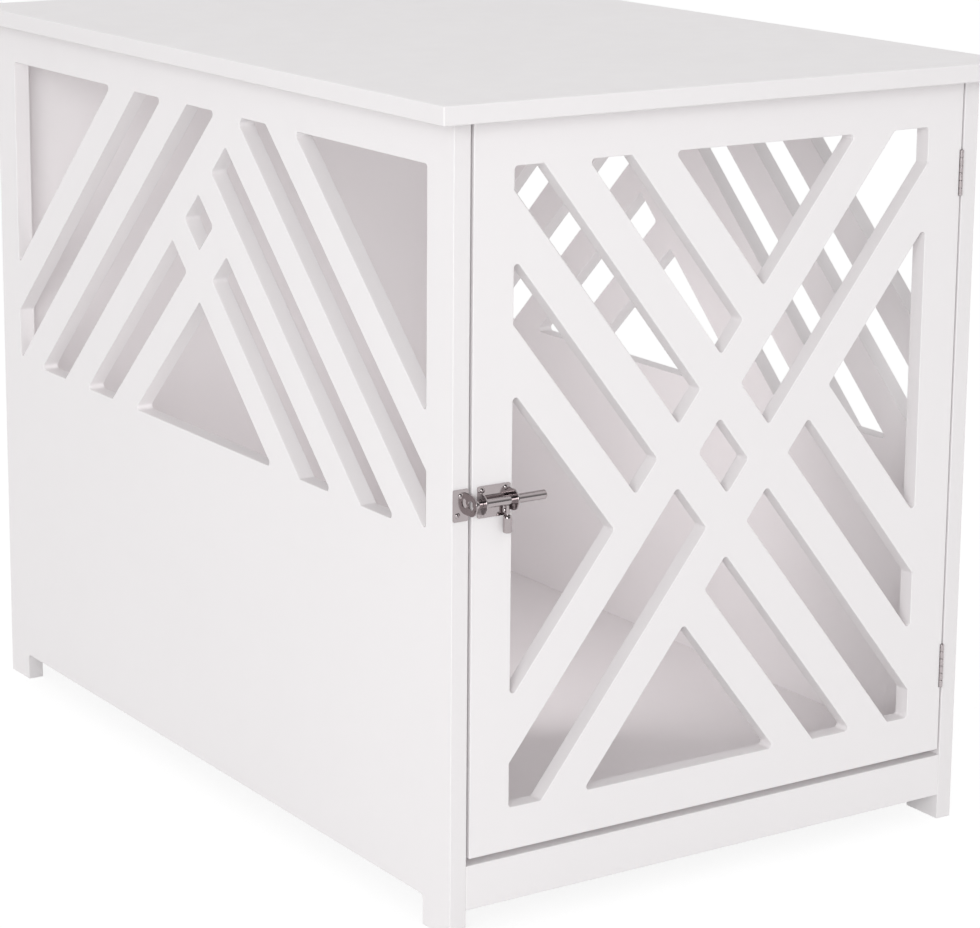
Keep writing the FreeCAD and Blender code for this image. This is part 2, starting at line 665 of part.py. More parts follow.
hinge_screw_head = prism("HingeScrewHead", FEW_SIDES, "hinge_screw_head", "hinge_head_height",
                         "0", "0", "0", UP)
hinge_screw_shank = prism("HingeScrewShank", FEW_SIDES, "screw_radius", "screw_length",
                          "0", "0", "0", UP)
hinge_screw = fuse("HingeScrew", [hinge_screw_head, hinge_screw_shank])
FRAME_LEAF_X = "(body_width / 2 - board - hinge_sheet)"
DOOR_LEAF_X = "(body_width / 2 - board - hinge_gap - hinge_sheet)"
frame_screw_places = []
door_screw_places = []
for name, level in HINGE_LEVELS.items():
    frame_leaf = hinge_leaf(
        name + "_frame_leaf", level, FRAME_LEAF_X, FRAME_LEAF_X, UNIT["+X"], 0,
    )
    piece(name + "_hinge_frame_leaf", frame_leaf)
    door_leaf = hinge_leaf(name + "_door_leaf", level, DOOR_LEAF_X, DOOR_RIGHT, UNIT["-X"], 1)
    piece(name + "_hinge_door_leaf", door_leaf)
    pin = cylinder(name + "_pin", "pin_radius", "hinge_height")
    piece(name + "_hinge_pin", pin, DOOR_RIGHT, PIN_Y, level + " - hinge_height / 2")
    for sign in ("-", "+"):
        height = "%s %s hinge_screw_spread / 2" % (level, sign)
        frame_screw_places.append((FRAME_LEAF_X, SCREW_Y, height, UP, UNIT["+X"]))
        door_screw_places.append((DOOR_RIGHT, SCREW_Y, height, UP, UNIT["-X"]))
        inner_face = (INNER_X, SCREW_Y, height)
        bore("right_side_panel", SCREW_HOLE, "screw_length", inner_face, UNIT["+X"])
        recess = (DOOR_RIGHT + " - hinge_sheet", SCREW_Y, height)
        bore("door_panel", SCREW_HOLE, "screw_length", recess, UNIT["-X"])
piece("hinge_frame_screws", copies("HingeFrameScrews", hinge_screw, frame_screw_places))
piece("hinge_door_screws", copies("HingeDoorScrews", hinge_screw, door_screw_places))


# ---------------------------------------------------------------- barrel bolt on the door
# The bolt plate and the keeper are pressed from sheet, each with round ears folded up to guide the
# rod. The rod is drawn back at rest, with its nose just clear of the keeper.
def guide_plate(name, width, ears, screws):
    """A plate with folded ears; its origin is on the rod axis, level with the plate's left end."""
    body = new_body(name)
    for number, place in enumerate(ears):
        ear = sketch_on(body, "%s_ear%d" % (name, number), "YZ_Plane")
        bind(ear, "AttachmentOffset.Base.z", place)
        corners = [("bolt_standoff", "-ear_radius"), ("bolt_standoff", "ear_radius")]
        for side in range(EAR_SIDES + 1):
            angle = "(%d * 180deg / %d)" % (side, EAR_SIDES)
            corners.append(("-ear_radius * sin%s" % angle, "ear_radius * cos%s" % angle))
        closed_outline(ear, corners)
        pad(body, ear, "ear_sheet")
    plate = sketch_on(body, name + "_plate", "XZ_Plane")
    bind(plate, "AttachmentOffset.Base.z", "-bolt_standoff")
    half = "plate_height / 2"
    closed_outline(plate, [("0", "-" + half), (width, "-" + half), (width, half), ("0", half)])
    plate_pad = pad(body, plate, "plate_sheet")
    DOC.recompute()
    corners = []
    for number in straight_edges(plate_pad.Shape, Vector(0, 1, 0)):
        middle = plate_pad.Shape.Edges[number - 1].CenterOfMass
        if abs(abs(middle.z) - size("plate_height") / 2) < NEAR:
            corners.append("Edge%d" % number)
    rounding = body.newObject("PartDesign::Fillet", name + "_corners")
    rounding.Base = (plate_pad, corners)
    bind(rounding, "Radius", "plate_round")
    guide = prism(name + "_guide", MORE_SIDES, flats("rod_radius + rod_play", MORE_SIDES),
                  "2 * " + width, "-%s / 2" % width, "0", "0", UNIT["+X"])
    holes = [guide]
    for number, (x, y) in enumerate(screws):
        hole = prism("%s_hole%d" % (name, number), FEW_SIDES, SCREW_HOLE, "2 * plate_sheet",
                     x, "bolt_standoff - 2 * plate_sheet", y, UNIT["+Y"])
        holes.append(hole)
    return cut(name + "_pierced", body, holes)


bolt_screws = [
    (x, y)
    for x in ("screw_inset", "plate_width - screw_inset")
    for y in ("-screw_rise", "screw_rise")
]
keeper_screws = [
    ("keeper_screw_upper", "keeper_screw_rise"),
    ("keeper_screw_lower", "-keeper_screw_rise"),
]
KEEPER_LEFT = "(keeper_inset - body_width / 2)"
plate_ears = ["0", "plate_width - ear_sheet"]
bolt_plate = guide_plate("BoltPlate", "plate_width", plate_ears, bolt_screws)
piece("bolt_plate", bolt_plate, PLATE_LEFT, ROD_Y, "bolt_level")
keeper = guide_plate("Keeper", "keeper_width", ["keeper_width - ear_sheet"], keeper_screws)
piece("bolt_keeper", keeper, KEEPER_LEFT, ROD_Y, "bolt_level")

round_head = prism("RoundScrewHead", MORE_SIDES, "screw_head_radius", "screw_head_height",
                   "0", "0", "-screw_head_height", UP)
round_shank = prism("RoundScrewShank", FEW_SIDES, "screw_radius", "screw_length", "0", "0", "0", UP)
round_screw = fuse("RoundScrew", [round_head, round_shank])
for node, board, left, places in (
    ("bolt_plate_screws", "door_panel", PLATE_LEFT, bolt_screws),
    ("keeper_screws", "left_side_panel", KEEPER_LEFT, keeper_screws),
):
    heads = []
    for x, y in places:
        across = "%s + %s" % (left, x)
        level = "bolt_level + (%s)" % y
        heads.append((across, "-plate_sheet", level, UNIT["+X"], UNIT["+Y"]))
        bore(board, SCREW_HOLE, "screw_length", (across, "0", level), UNIT["+Y"])
    piece(node, copies(node + "_group", round_screw, heads))

rod = new_body("Rod")
rod_sketch = sketch_on(rod, "RodProfile", "XZ_Plane")
closed_outline(
    rod_sketch,
    [
        ("0", "0"),
        ("nose_radius / 2", "nose_radius / 8"),
        ("nose_radius", "nose_radius * 3 / 4"),
        ("nose_radius", "nose_length"),
        ("rod_radius", "nose_length"),
        ("rod_radius", "rod_length"),
        ("0", "rod_length"),
    ],
)
revolve(rod, rod_sketch)
turn(rod, UNIT["-Z"], UNIT["+X"])
piece("bolt_rod", rod, ROD_TIP, ROD_Y, "bolt_level")

neck = prism("HandleNeck", FEW_SIDES, "neck_radius", "knob_drop - rod_radius - rod_play",
             "0", "0", "-rod_radius - rod_play", UNIT["-Z"])
shoulder = prism("KnobShoulder", MORE_SIDES, "(neck_radius + knob_radius) / 2", "knob_dome",
                 "0", "0", "-knob_drop", UNIT["-Z"])
knob = prism("Knob", MORE_SIDES, "knob_radius", "knob_length - knob_dome",
             "0", "0", "-knob_drop - knob_dome", UNIT["-Z"])
handle = fuse("Handle", [neck, shoulder, knob])
piece("bolt_handle", handle, ROD_TIP + " + knob_place", ROD_Y, "bolt_level")


# ---------------------------------------------------------------- cam locks, cam bolts and dowels
cam = prism("CamBlank", MORE_SIDES, "cam_radius", "cam_depth - cam_recess",
            "0", "0", "board / 2 - cam_depth", UP)
channel = box("CamChannel", "cam_radius + channel", "2 * channel", "2 * channel",
              "-cam_radius", "-channel", "-channel")
slot = box("CamSlot", "2 * cam_slot", "cam_slot", "cam_depth",
           "-cam_slot", "-cam_slot / 2", "board / 2 - cam_recess - cam_slot")
cam_lock = cut("CamLock", cam, [channel, slot])
piece("cam_locks", copies("CamLocks", cam_lock, CAM_PLACES))

thread = prism("CamBoltThread", FEW_SIDES, "cam_thread_radius", "cam_thread",
               "0", "0", "-cam_thread", UP)
shank = prism("CamBoltShank", FEW_SIDES, "cam_bolt_radius", "cam_setback + cam_bolt_radius / 2",
              "0", "0", "0", UP)
cam_bolt = fuse("CamBolt", [thread, shank])
piece("cam_bolts", copies("CamBolts", cam_bolt, BOLT_PLACES))

dowel = prism("Dowel", FEW_SIDES, "dowel_radius", "dowel_length", "0", "0", "0", UP)
piece("wood_dowels", copies("Dowels", dowel, DOWEL_PLACES))

for board, blank in BOARDS.items():
    piece(board, cut(board + "_drilled", blank, CUTTERS[board]))


# ---------------------------------------------------------------- check and write
DOC.recompute()
for obj in DOC.Objects:
    if "Invalid" in obj.State or "Error" in obj.State:
        raise RuntimeError("%s failed: %s" % (obj.Label, obj.State))
for node, obj in PIECES.items():
    if obj.Shape.isNull() or not obj.Shape.isValid() or not obj.Shape.Solids:
        raise RuntimeError("%s has no valid solid" % node)
os.makedirs("parts", exist_ok=True)
for node, obj in PIECES.items():
    obj.Shape.exportStep("parts/%s.step" % node)
    extent = obj.Shape.BoundBox
    print("%-26s %2d solids %10.1f mm3  x %.2f..%.2f y %.2f..%.2f z %.2f..%.2f" % (
        node, len(obj.Shape.Solids), obj.Shape.Volume,
        extent.XMin, extent.XMax, extent.YMin, extent.YMax, extent.ZMin, extent.ZMax))
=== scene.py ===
import math

import bmesh
import bpy
from mathutils import Matrix, Vector


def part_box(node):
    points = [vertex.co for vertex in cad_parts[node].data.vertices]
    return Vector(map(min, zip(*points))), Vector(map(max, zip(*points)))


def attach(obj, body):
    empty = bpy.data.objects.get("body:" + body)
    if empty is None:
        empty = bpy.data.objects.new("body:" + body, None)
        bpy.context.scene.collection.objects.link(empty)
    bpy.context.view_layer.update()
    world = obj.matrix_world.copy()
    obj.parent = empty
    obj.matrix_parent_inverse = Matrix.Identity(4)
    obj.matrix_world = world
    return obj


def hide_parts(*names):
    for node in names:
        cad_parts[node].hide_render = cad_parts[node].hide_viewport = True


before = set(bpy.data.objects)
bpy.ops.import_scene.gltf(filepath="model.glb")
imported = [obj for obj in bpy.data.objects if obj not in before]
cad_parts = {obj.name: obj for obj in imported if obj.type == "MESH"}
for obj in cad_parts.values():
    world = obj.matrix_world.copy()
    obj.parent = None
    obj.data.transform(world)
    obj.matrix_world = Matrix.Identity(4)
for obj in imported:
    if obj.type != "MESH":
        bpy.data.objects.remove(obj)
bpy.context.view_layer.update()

# ---------------------------------------------------------------- side panels
# Each side is one board of 15 mm fibreboard with its feet sawn out and its lattice routed through
# it. The arrises are sanded and the whole board is sprayed with white satin lacquer.
MM = 0.001
X, Y, Z = 0, 1, 2
SANDED = 0.7 * MM
ROUTER_RADIUS = 3 * MM
ROUND_OFF_FROM = 40
INNER_CORNER_FROM = 20
SMOOTH_TO = 40
SAME_POINT = 1e-6
LACQUER_WHITE = (0.862, 0.834, 0.841, 1)


def add_node(tree, kind, **settings):
    """A node in a tree, with properties by name and input values by socket name."""
    made = tree.nodes.new(kind)
    for name, value in settings.items():
        if name in made.inputs:
            made.inputs[name].default_value = value
        else:
            setattr(made, name, value)
    return made


def new_group(name, sockets_in, sockets_out):
    """An empty shader node group with typed sockets."""
    group = bpy.data.node_groups.new(name, "ShaderNodeTree")
    for socket, kind, value in sockets_in:
        made = group.interface.new_socket(socket, in_out="INPUT", socket_type="NodeSocket" + kind)
        made.default_value = value
    for socket, kind in sockets_out:
        group.interface.new_socket(socket, in_out="OUTPUT", socket_type="NodeSocket" + kind)
    return group, group.nodes.new("NodeGroupInput"), group.nodes.new("NodeGroupOutput")


def noise(tree, place, scale, detail, low, high):
    """Noise spread over a range of values."""
    made = add_node(tree, "ShaderNodeTexNoise", Scale=scale, Detail=detail)
    tree.links.new(place, made.inputs["Vector"])
    spread = add_node(tree, "ShaderNodeMapRange")
    spread.inputs["From Min"].default_value = 0.3
    spread.inputs["From Max"].default_value = 0.7
    spread.inputs["To Min"].default_value = low
    spread.inputs["To Max"].default_value = high
    tree.links.new(made.outputs["Fac"], spread.inputs["Value"])
    return spread.outputs["Result"]


def arithmetic(tree, operation, first, second):
    """A math node; each operand is a number or a socket."""
    made = add_node(tree, "ShaderNodeMath", operation=operation)
    for place, operand in enumerate((first, second)):
        if isinstance(operand, (int, float)):
            made.inputs[place].default_value = operand
        else:
            tree.links.new(operand, made.inputs[place])
    return made.outputs[0]


def tint(tree, colour, factor):
    """A colour scaled by a factor that changes over the surface."""
    made = add_node(tree, "ShaderNodeVectorMath", operation="SCALE")
    tree.links.new(colour, made.inputs[0])
    tree.links.new(factor, made.inputs["Scale"])
    return made.outputs[0]


def sprayed_lacquer():
    """The skin of sprayed lacquer: slight drifts of tone, orange peel, and dry routed edges."""
    group, entry, exit_ = new_group(
        "Sprayed lacquer",
        [("Colour", "Color", LACQUER_WHITE), ("Roughness", "Float", 0.4), ("Routed", "Float", 0)],
        [("Colour", "Color"), ("Roughness", "Float"), ("Height", "Float")],
    )
    place = group.nodes.new("ShaderNodeTexCoord").outputs["Object"]
    drift = noise(group, place, 3.1, 2, 0.988, 1.0)
    dry = arithmetic(group, "MULTIPLY", entry.outputs["Routed"], 0.03)
    shade = arithmetic(group, "SUBTRACT", drift, dry)
    group.links.new(tint(group, entry.outputs["Colour"], shade), exit_.inputs["Colour"])
    patches = noise(group, place, 46, 3, -0.05, 0.05)
    rough = arithmetic(group, "ADD", entry.outputs["Roughness"], patches)
    fibres = arithmetic(group, "MULTIPLY", entry.outputs["Routed"], 0.14)
    group.links.new(arithmetic(group, "ADD", rough, fibres), exit_.inputs["Roughness"])
    peel = noise(group, place, 620, 2, 0, 1)
    nap = arithmetic(group, "MULTIPLY", noise(group, place, 2300, 1, 0, 1), entry.outputs["Routed"])
    group.links.new(arithmetic(group, "ADD", peel, nap), exit_.inputs["Height"])
    return group


def finished_material(name, group, values, bump_height, **shader):
    """A material on a skin group: what varies comes from the group, the rest is on the shader."""
    material = bpy.data.materials.new(name)
    material.use_nodes = True
    tree = material.node_tree
    principled = tree.nodes["Principled BSDF"]
    skin = add_node(tree, "ShaderNodeGroup", node_tree=group)
    for socket, value in values.items():
        if isinstance(value, str):
            mask = add_node(tree, "ShaderNodeAttribute", attribute_name=value)
            tree.links.new(mask.outputs["Fac"], skin.inputs[socket])
        else:
            skin.inputs[socket].default_value = value
    tree.links.new(skin.outputs["Colour"], principled.inputs["Base Color"])
    tree.links.new(skin.outputs["Roughness"], principled.inputs["Roughness"])
    bump = add_node(tree, "ShaderNodeBump", Strength=1.0, Distance=bump_height)
    tree.links.new(skin.outputs["Height"], bump.inputs["Height"])
    tree.links.new(bump.outputs["Normal"], principled.inputs["Normal"])
    for socket, value in shader.items():
        principled.inputs[socket.replace("_", " ")].default_value = value
    return material


white_lacquer = finished_material(
    "white satin lacquer",
    sprayed_lacquer(),
    {"Colour": LACQUER_WHITE, "Roughness": 0.42, "Routed": "routed"},
    0.012 * MM,
)


def merged_copy(node):
    """A CAD node's mesh with its loose triangles joined into whole faces."""
    bm = bmesh.new()
    bm.from_mesh(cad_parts[node].data)
    bmesh.ops.remove_doubles(bm, verts=bm.verts, dist=SAME_POINT)
    bmesh.ops.dissolve_limit(
        bm, angle_limit=math.radians(0.5), use_dissolve_boundaries=False,
        verts=bm.verts, edges=bm.edges,
    )
    bm.normal_update()
    return bm


def bevel(bm, edges, width, segments):
    """Round edges off by a width."""
    bmesh.ops.bevel(
        bm, geom=edges, offset=width, offset_type="OFFSET", segments=segments, profile=0.5,
        affect="EDGES", clamp_overlap=False, loop_slide=False, material=-1,
    )
    bm.normal_update()


def turn_of(edge):
    """The angle between an edge's two faces in degrees, below zero at an inner corner."""
    if len(edge.link_faces) != 2:
        return 0
    return math.degrees(edge.calc_face_angle_signed(0))


def finished_piece(name, bm, body, material, nodes):
    """An object from a mesh, on its body and in the place of CAD nodes."""
    mesh = bpy.data.meshes.new(name)
    bm.to_mesh(mesh)
    bm.free()
    piece = bpy.data.objects.new(name, mesh)
    bpy.context.scene.collection.objects.link(piece)
    mesh.materials.append(material)
    mesh.shade_smooth()
    mesh.set_sharp_from_angle(angle=math.radians(SMOOTH_TO))
    even = piece.modifiers.new("even shading", "WEIGHTED_NORMAL")
    even.keep_sharp = True
    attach(piece, body)
    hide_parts(*nodes)


def mark_routed(bm, across):
    """Mark the faces that the saw and the router left, which drink in the lacquer."""
    layer = bm.faces.layers.float.new("routed")
    for face in bm.faces:
        face[layer] = 1 - abs(face.normal[across])


def sanded_board(node, name, body, across):
    """A board whose routed corners are round and whose arrises are sanded."""
    bm = merged_copy(node)
    low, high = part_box(node)
    thickness = high[across] - low[across]

    def goes_through(face):
        depths = [vertex.co[across] for vertex in face.verts]
        return max(depths) - min(depths) > 0.99 * thickness

    def walls_of(edge):
        walls = [face for face in edge.link_faces if abs(face.normal[across]) < 0.1]
        return [face for face in walls if goes_through(face)]

    inner = {}
    for edge in bm.edges:
        if len(walls_of(edge)) == 2 and turn_of(edge) < -INNER_CORNER_FROM:
            inner.setdefault(round(turn_of(edge)), []).append(edge)
    for turn in sorted(inner):
        again = [e for e in bm.edges if len(walls_of(e)) == 2 and round(turn_of(e)) == turn]
        bevel(bm, again, ROUTER_RADIUS * math.tan(math.radians(-turn) / 2), 8)
    arrises = [e for e in bm.edges if walls_of(e) and turn_of(e) > ROUND_OFF_FROM]
    bevel(bm, arrises, SANDED, 3)
    mark_routed(bm, across)
    finished_piece(name, bm, body, white_lacquer, [node])


sanded_board("left_side_panel", "left_side", "cabinet", X)
sanded_board("right_side_panel", "right_side", "cabinet", X)

# ---------------------------------------------------------------- back, floor and front rail
# Three plain boards of the same fibreboard close the cabinet behind and below. They stand between
# the sides, on dowels and cam locks.
sanded_board("back_panel", "back_board", "cabinet", Y)
sanded_board("floor_panel", "floor_board", "cabinet", Z)
sanded_board("front_bottom_rail", "front_rail", "cabinet", Y)

# ---------------------------------------------------------------- table top
# The top is one larger board that lies over the sides and the back. Its edges are rounded a
# little more than those of the other boards.
TOP_SOFTENING = 0.3 * MM
top_mesh = merged_copy("top_panel")
bevel(top_mesh, [e for e in top_mesh.edges if 30 < turn_of(e) < 65], TOP_SOFTENING, 2)
mark_routed(top_mesh, Z)
finished_piece("table_top", top_mesh, "cabinet", white_lacquer, ["top_panel"])

# ---------------------------------------------------------------- wooden dowels
# Beech dowels keep the boards in line. They are turned, fluted for the glue and chamfered at the
# ends.
FLUTES = 16
FLUTE_DEPTH = 0.3
DOWEL_RADIUS = 3.98
DOWEL_HALF = 14


def solids_of(node):
    """The boxes of a node's separate solids, each as its lowest and highest corner."""
    bm = bmesh.new()
    bm.from_mesh(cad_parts[node].data)
    bmesh.ops.remove_doubles(bm, verts=bm.verts, dist=SAME_POINT)
    left = set(bm.verts)
    found = []
    while left:
        shell = [left.pop()]
        for vertex in shell:
            for edge in vertex.link_edges:
                neighbour = edge.other_vert(vertex)
                if neighbour in left:
                    left.remove(neighbour)
                    shell.append(neighbour)
        places = [vertex.co for vertex in shell]
        low = Vector([min(place[axis] for place in places) for axis in range(3)])
        high = Vector([max(place[axis] for place in places) for axis in range(3)])
        found.append((low, high))
    bm.free()
    return sorted(found, key=lambda box: tuple(round(value, 5) for value in box[0]))


def turned(profile, steps):
    """A round piece about Z from (radius, height) pairs in millimetres, closed at the axis."""
    bm = bmesh.new()
    points = [bm.verts.new((radius * MM, 0, height * MM)) for radius, height in profile]
    edges = [bm.edges.new(pair) for pair in zip(points, points[1:])]
    bmesh.ops.spin(
        bm, geom=points + edges, cent=(0, 0, 0), axis=(0, 0, 1), dvec=(0, 0, 0),
        angle=math.tau, steps=steps, use_merge=True, use_duplicate=False,
    )
    bmesh.ops.remove_doubles(bm, verts=bm.verts, dist=1e-7)
    bmesh.ops.recalc_face_normals(bm, faces=bm.faces)
    return bm


def repeated(master, places):
    """Copies of a mesh at several places, in one mesh; the master is used up."""
    mesh = bpy.data.meshes.new("master")
    master.to_mesh(mesh)
    master.free()
    bm = bmesh.new()
    for place in places:
        known = len(bm.verts)
        bm.from_mesh(mesh)
        bm.verts.ensure_lookup_table()
        bmesh.ops.transform(bm, matrix=place, verts=bm.verts[known:])
    bpy.data.meshes.remove(mesh)
    return bm


def standing(point, z_axis, x_axis):
    """The matrix that puts a piece's origin at a point with its Z and X along two directions."""
    z_axis, x_axis = Vector(z_axis), Vector(x_axis)
    turned_axes = Matrix((x_axis, z_axis.cross(x_axis), z_axis)).transposed().to_4x4()
    return Matrix.Translation(point) @ turned_axes


def long_axis(low, high):
    """The axis along which a solid is longest."""
    return max(range(3), key=lambda axis: high[axis] - low[axis])


UNITS = [Vector((1, 0, 0)), Vector((0, 1, 0)), Vector((0, 0, 1))]
dowel = turned(
    [(0, -DOWEL_HALF), (2.9, -DOWEL_HALF), (DOWEL_RADIUS, -12.6), (DOWEL_RADIUS, 0),
     (DOWEL_RADIUS, 12.6), (2.9, DOWEL_HALF), (0, DOWEL_HALF)],
    6 * FLUTES,
)
for vertex in dowel.verts:
    radius = math.hypot(vertex.co.x, vertex.co.y)
    if radius > 3.5 * MM:
        wave = math.cos(FLUTES * math.atan2(vertex.co.y, vertex.co.x))
        groove = max(0, wave) * FLUTE_DEPTH * MM
        vertex.co.xy *= 1 - groove / radius
dowel_places = []
for low, high in solids_of("wood_dowels"):
    axis = long_axis(low, high)
    dowel_places.append(standing((low + high) / 2, UNITS[axis], UNITS[axis - 2]))


def beech_grain():
    """Beech: a fine even fleck of light and dark."""
    group, entry, exit_ = new_group(
        "Beech grain",
        [("Light", "Color", (0.62, 0.43, 0.26, 1)), ("Dark", "Color", (0.42, 0.26, 0.14, 1))],
        [("Colour", "Color"), ("Roughness", "Float"), ("Height", "Float")],
    )
    place = group.nodes.new("ShaderNodeTexCoord").outputs["Object"]
    grain = noise(group, place, 900, 3, 0, 1)
    mix = add_node(group, "ShaderNodeMix", data_type="RGBA")
    group.links.new(grain, mix.inputs["Factor"])
    group.links.new(entry.outputs["Light"], mix.inputs["A"])
    group.links.new(entry.outputs["Dark"], mix.inputs["B"])
    group.links.new(mix.outputs["Result"], exit_.inputs["Colour"])
    group.links.new(noise(group, place, 500, 2, 0.55, 0.7), exit_.inputs["Roughness"])
    group.links.new(grain, exit_.inputs["Height"])
    return group


beech = finished_material("beech", beech_grain(), {}, 0.03 * MM)
finished_piece(
    "fluted_dowels", repeated(dowel, dowel_places), "cabinet", beech, ["wood_dowels"]
)

# ---------------------------------------------------------------- cam bolts
# A zinc-plated bolt is screwed into one board, and its ball head stands out of it on a thin neck
# for the cam lock to pull.
SUNK = 10


def plated_metal():
    """The skin of plated metal: cloudy patches, fine scratches and a faint drift of tone."""
    group, entry, exit_ = new_group(
        "Plated metal",
        [("Colour", "Color", (0.6, 0.6, 0.6, 1)), ("Roughness", "Float", 0.2),
         ("Cloudiness", "Float", 0.1)],
        [("Colour", "Color"), ("Roughness", "Float"), ("Height", "Float")],
    )
    place = group.nodes.new("ShaderNodeTexCoord").outputs["Object"]
    drift = noise(group, place, 90, 2, 0.93, 1.0)
    group.links.new(tint(group, entry.outputs["Colour"], drift), exit_.inputs["Colour"])
    patches = arithmetic(
        group, "MULTIPLY", noise(group, place, 210, 4, 0, 1), entry.outputs["Cloudiness"]
    )
    group.links.new(
        arithmetic(group, "ADD", entry.outputs["Roughness"], patches), exit_.inputs["Roughness"]
    )
    stretch = add_node(group, "ShaderNodeMapping")
    stretch.inputs["Scale"].default_value = (0.15, 1, 1)
    group.links.new(place, stretch.inputs["Vector"])
    group.links.new(noise(group, stretch.outputs[0], 2600, 2, 0, 1), exit_.inputs["Height"])
    return group


plating = plated_metal()
bright_zinc = finished_material(
    "bright zinc", plating,
    {"Colour": (0.66, 0.67, 0.68, 1), "Roughness": 0.3, "Cloudiness": 0.2},
    0.01 * MM, Metallic=1.0,
)


def threaded(root, crest, start, end, pitch):
    """The profile of a thread as rings, in (radius, height) pairs from start up to end."""
    points = []
    height = start
    while height + pitch <= end:
        points += [(root, height), (crest, height + pitch * 0.4), (crest, height + pitch * 0.55)]
        height += pitch
    return points + [(root, end)]


cam_bolt = turned(
    [(0, -SUNK), (1.6, -SUNK)] + threaded(2.3, 3.15, -9, -0.8, 1.5)
    + [(2.75, -0.8), (2.75, 17), (2.4, 17.6), (1.5, 18.6), (1.5, 22.2), (2.2, 22.8),
       (2.7, 23.8), (2.5, 24.9), (1.6, 25.4), (0, 25.4)],
    32,
)
cam_bolt_places = []
for low, high in solids_of("cam_bolts"):
    axis = long_axis(low, high)
    middle = (low + high) / 2
    into = UNITS[Z] * -1 if axis == Z else UNITS[X] * (-1 if middle.x > 0 else 1)
    half = (high[axis] - low[axis]) / 2
    cam_bolt_places.append(standing(middle - into * (half - SUNK * MM), into, UNITS[Y]))
finished_piece(
    "cam_bolt_set", repeated(cam_bolt, cam_bolt_places), "cabinet", bright_zinc,
    ["cam_bolts"],
)

# ---------------------------------------------------------------- cam locks
# Each cam lock is a zinc drum in a pocket. It has a cross slot for the screwdriver, and a channel
# across its rim takes in the bolt's head.


def block(size, middle):
    """A box mesh from its size and its middle in millimetres, for cutting and building up."""
    bm = bmesh.new()
    place = Matrix.Translation(Vector(middle) * MM) @ Matrix.Diagonal((*(Vector(size) * MM), 1))
    bmesh.ops.create_cube(bm, size=1, matrix=place)
    return bm


def combined(base, *steps):
    """A mesh changed by others, each an (operation, mesh) pair; all of them are used up."""
    made = []
    for bm in (base,) + tuple(mesh for operation, mesh in steps):
        mesh = bpy.data.meshes.new("shape")
        bm.to_mesh(mesh)
        bm.free()
        shape = bpy.data.objects.new("shape", mesh)
        bpy.context.scene.collection.objects.link(shape)
        made.append(shape)
    for (operation, mesh), tool in zip(steps, made[1:]):
        change = made[0].modifiers.new("change", "BOOLEAN")
        change.operation = operation
        change.solver = "EXACT"
        change.object = tool
    seen = bpy.context.evaluated_depsgraph_get()
    result = bmesh.new()
    result.from_object(made[0], seen)
    for shape in made:
        mesh = shape.data
        bpy.data.objects.remove(shape)
        bpy.data.meshes.remove(mesh)
    bmesh.ops.remove_doubles(result, verts=result.verts, dist=1e-7)
    result.normal_update()
    return result


cam_lock = combined(
    turned([(0, -6.1), (6.8, -6.1), (7.3, -5.6), (7.3, 5.4), (7.0, 5.9), (6.6, 6.1), (5.6, 6.1),
            (5.3, 5.7), (0, 5.7)], 64),
    ("DIFFERENCE", block((11, 6.2, 6.2), (-4.1, 0, -1.1))),
    ("DIFFERENCE", block((8.4, 1.7, 4), (0, 0, 5.7))),
    ("DIFFERENCE", block((1.7, 8.4, 4), (0, 0, 5.7))),
)
cam_lock_places = []
for low, high in solids_of("cam_locks"):
    spans = high - low
    middle = (low + high) / 2
    if spans.x < spans.y and spans.x < spans.z:
        out, into = UNITS[X] * (-1 if middle.x > 0 else 1), UNITS[Z] * -1
    else:
        into = UNITS[X] * (-1 if middle.x > 0 else 1)
        out = UNITS[Y] if spans.y < spans.z else UNITS[Z] * -1
    cam_lock_places.append(standing(middle, out, into))
finished_piece(
    "cam_lock_set", repeated(cam_lock, cam_lock_places), "cabinet", bright_zinc,
    ["cam_locks"],
)

# ---------------------------------------------------------------- lattice door
# The door is one more board with a crossed lattice routed out of it. It hangs inside the front
# with narrow gaps round it, and its right edge is let in for the hinges.
sanded_board("door_panel", "lattice_door", "door", Y)

# ---------------------------------------------------------------- hinges
# Each hinge is two rolled steel leaves on a loose pin, nickel plated. The door's leaf is let into
# the door's edge and the other lies on the side panel.
KNUCKLES = 6
KNUCKLE_PLAY = 0.2
KNUCKLE_RADIUS = 1.78
KNUCKLE_ROOM = 2.1
PIN_RADIUS = 0.9
PIN_HOLE = 0.94
LEAF_HEIGHT = 38
LEAF_DEPTH = 13
LEAF_SHEET = 0.9
LEAF_SPREAD = 2.0
LEAF_CORNER = 1.5
LEAF_SCREW_BACK = 7.1
LEAF_SCREW_RISES = (-11, 11)
PITCH = (LEAF_HEIGHT + KNUCKLE_PLAY) / KNUCKLES
KNUCKLE_LENGTH = PITCH - KNUCKLE_PLAY
hinge_nickel = finished_material(
    "hinge nickel", plating,
    {"Colour": (0.5, 0.45, 0.458, 1), "Roughness": 0.2, "Cloudiness": 0.14},
    0.008 * MM, Metallic=1.0,
)


def moved(bm, place):
    """A mesh moved by a matrix."""
    bmesh.ops.transform(bm, matrix=place, verts=bm.verts)
    return bm


def raised(bm, height):
    """A mesh lifted by a height in millimetres."""
    return moved(bm, Matrix.Translation((0, 0, height * MM)))


def rolled_knuckle():
    """One knuckle, standing on its foot, with rolled ends."""
    radius, length = KNUCKLE_RADIUS, KNUCKLE_LENGTH
    return turned([(0, 0), (1.4, 0), (1.68, 0.12), (radius, 0.4), (radius, length - 0.4),
                   (1.68, length - 0.12), (1.4, length), (0, length)], 40)


def cylinder(radius, low, high, steps):
    """A plain round bar about Z between two heights in millimetres, for cutting."""
    return turned([(0, low), (radius, low), (radius, high), (0, high)], steps)


